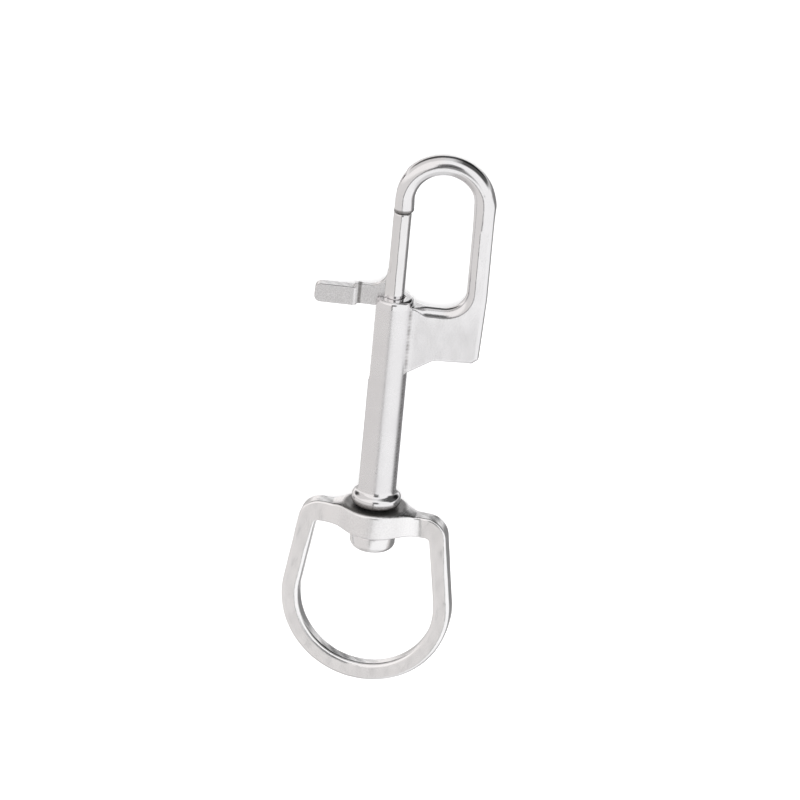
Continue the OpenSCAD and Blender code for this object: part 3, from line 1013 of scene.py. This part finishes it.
@dataclass
class Studio:
    """Pale floor, white room, a soft key light and the camera.

    The camera looks at a place in mm along the barrel's axes, and its angles are in degrees. The floor
    and the key light are in metres and watts.
    """

    SENSOR: ClassVar[float] = 36.0
    WHITE: ClassVar[Colour] = (1.0, 1.0, 1.0)
    WARM: ClassVar[Colour] = (1.0, 0.975, 0.96)
    FLOOR: ClassVar[Colour] = (0.94, 0.94, 0.94)

    axes: BarrelAxes
    look_v: float = 2.92
    look_u: float = 22.86
    yaw: float = 2.0
    lift: float = 25.0
    roll: float = 5.36
    frame_mm: float = 160.0
    lens: float = 1500.0
    floor_half: float = 3.0
    floor_gap: float = 0.00002
    floor_glow: float = 0.35
    key_place: tuple[float, float, float] = (0.3, -0.1, 1.0)
    key_size: float = 1.0
    key_power: float = 6.0

    def towards(self) -> Vector:
        """Returns the direction from the object to the camera."""
        psi, up = math.radians(self.yaw), math.radians(self.lift)
        return (self.axes.v * math.sin(psi) * math.cos(up) + self.axes.u * math.sin(up)
                + self.axes.w * math.cos(psi) * math.cos(up)).normalized()

    def camera(self) -> None:
        """Sets the camera at the photograph's angle."""
        rho, towards = math.radians(self.roll), self.towards()
        rise = (self.axes.u - towards * self.axes.u.dot(towards)).normalized()
        side = rise.cross(towards)
        image_up = rise * math.cos(rho) - side * math.sin(rho)
        image_right = side * math.cos(rho) + rise * math.sin(rho)
        data = bpy.data.cameras.new("photo_camera")
        data.type, data.lens, data.sensor_width = "PERSP", self.lens, self.SENSOR
        distance = self.frame_mm * MM * self.lens / self.SENSOR
        data.clip_start, data.clip_end = 0.05, 10.0
        camera = bpy.data.objects.new("photo_camera", data)
        target = Vector(self.axes.place(np.array([[self.look_v, self.look_u, 0.0]]))[0])
        turn = Matrix((image_right, image_up, towards)).transposed()
        camera.matrix_world = Matrix.Translation(target + towards * distance) @ turn.to_4x4()
        bpy.context.scene.collection.objects.link(camera)
        bpy.context.scene.camera = camera

    def world(self) -> None:
        """Sets a white room. Only what the metal mirrors of it has the flags and a warmer left side."""
        world = bpy.data.worlds.new("white_room")
        n = Nodes(world)
        room = n.add("ShaderNodeTexCoord").outputs["Generated"]

        def along(axis: Vector) -> Socket:
            """Share of a direction that lies along an axis."""
            node = n.add("ShaderNodeVectorMath", operation="DOT_PRODUCT")
            n.join(room, node.inputs[0])
            node.inputs[1].default_value = axis
            return node.outputs["Value"]

        shares = {Way.WEB: along(self.axes.v), Way.ARCH: along(self.axes.u), Way.UP: along(self.axes.w),
                  Way.LENS: along(self.towards())}

        def shade(flag: Flag) -> Socket:
            """What a flag leaves of the light."""
            masks = [n.span(shares[way], (low, high), (0.0, 1.0)) for way, low, high in flag.edges]
            left = n.span(n.fold("MULTIPLY", *masks), (0.0, 1.0), (1.0, 1.0 - flag.depth))
            left.node.label = flag.name
            return left

        mirrored = n.add("ShaderNodeLightPath").outputs["Is Glossy Ray"]
        seen = n.add("ShaderNodeMix", data_type="FLOAT")
        seen.inputs[2].default_value = 1.0
        n.join(mirrored, seen.inputs[0])
        n.join(n.fold("MULTIPLY", *map(shade, FLAGS)), seen.inputs[3])
        n.join(seen.outputs[0], n.shader.inputs["Strength"])
        warmth = n.fold("MULTIPLY", mirrored, n.span(shares[Way.WEB], (-0.03, -0.25), (0.0, 1.0)))
        n.join(n.tint(warmth, self.WHITE, self.WARM), n.shader.inputs["Color"])
        bpy.context.scene.world = world

    def floor(self) -> None:
        """Lays the pale floor, which a camera ray sees a little lighter."""
        mesh = bpy.data.meshes.new("floor")
        h = self.floor_half
        mesh.from_pydata([(-h, -h, 0), (h, -h, 0), (h, h, 0), (-h, h, 0)], [], [(0, 1, 2, 3)])
        floor = bpy.data.objects.new("floor", mesh)
        floor.location = (0.0, 0.0, -self.floor_gap)
        bpy.context.scene.collection.objects.link(floor)
        n = Nodes(bpy.data.materials.new("pale_floor"))
        n.shader.inputs["Base Color"].default_value = (*self.FLOOR, 1.0)
        n.shader.inputs["Roughness"].default_value = 0.9
        n.shader.inputs["Emission Color"].default_value = (*self.WHITE, 1.0)
        seen = n.add("ShaderNodeLightPath").outputs["Is Camera Ray"]
        n.join(n.span(seen, (0.0, 1.0), (0.0, self.floor_glow)), n.shader.inputs["Emission Strength"])
        mesh.materials.append(n.owner)
        floor.visible_glossy = False

    def key(self) -> None:
        """Hangs a large soft light over the object; the metal doesn't mirror it."""
        data = bpy.data.lights.new("soft_key", "AREA")
        data.shape, data.size, data.size_y, data.energy = "RECTANGLE", self.key_size, self.key_size, self.key_power
        lamp = bpy.data.objects.new("soft_key", data)
        lamp.visible_glossy = False
        place = Vector(self.key_place)
        lamp.matrix_world = Matrix.Translation(place) @ place.to_track_quat("Z", "Y").to_matrix().to_4x4()
        bpy.context.scene.collection.objects.link(lamp)

    def build(self) -> None:
        """Sets the whole stage."""
        self.camera()
        self.world()
        self.floor()
        self.key()


def main() -> None:
    """Builds the hook's pieces in order and sets the stage."""
    logging.basicConfig(level=logging.INFO, format="%(message)s", stream=sys.stdout)
    bpy.context.scene.view_settings.view_transform = "Standard"
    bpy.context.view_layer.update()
    axes = BarrelAxes.from_swivel(frame["joints"], SWIVEL_RISE)
    for piece in (HookBody(axes), SlidingBolt(axes), ReturnSpring(axes), SwivelRivet(axes),
                  StrapEye(axes.turned(EYE_TURN))):
        made = piece.build()
        log.info("%s is done", made.name)
    Studio(axes).build()


if __name__ == "__main__":
    main()
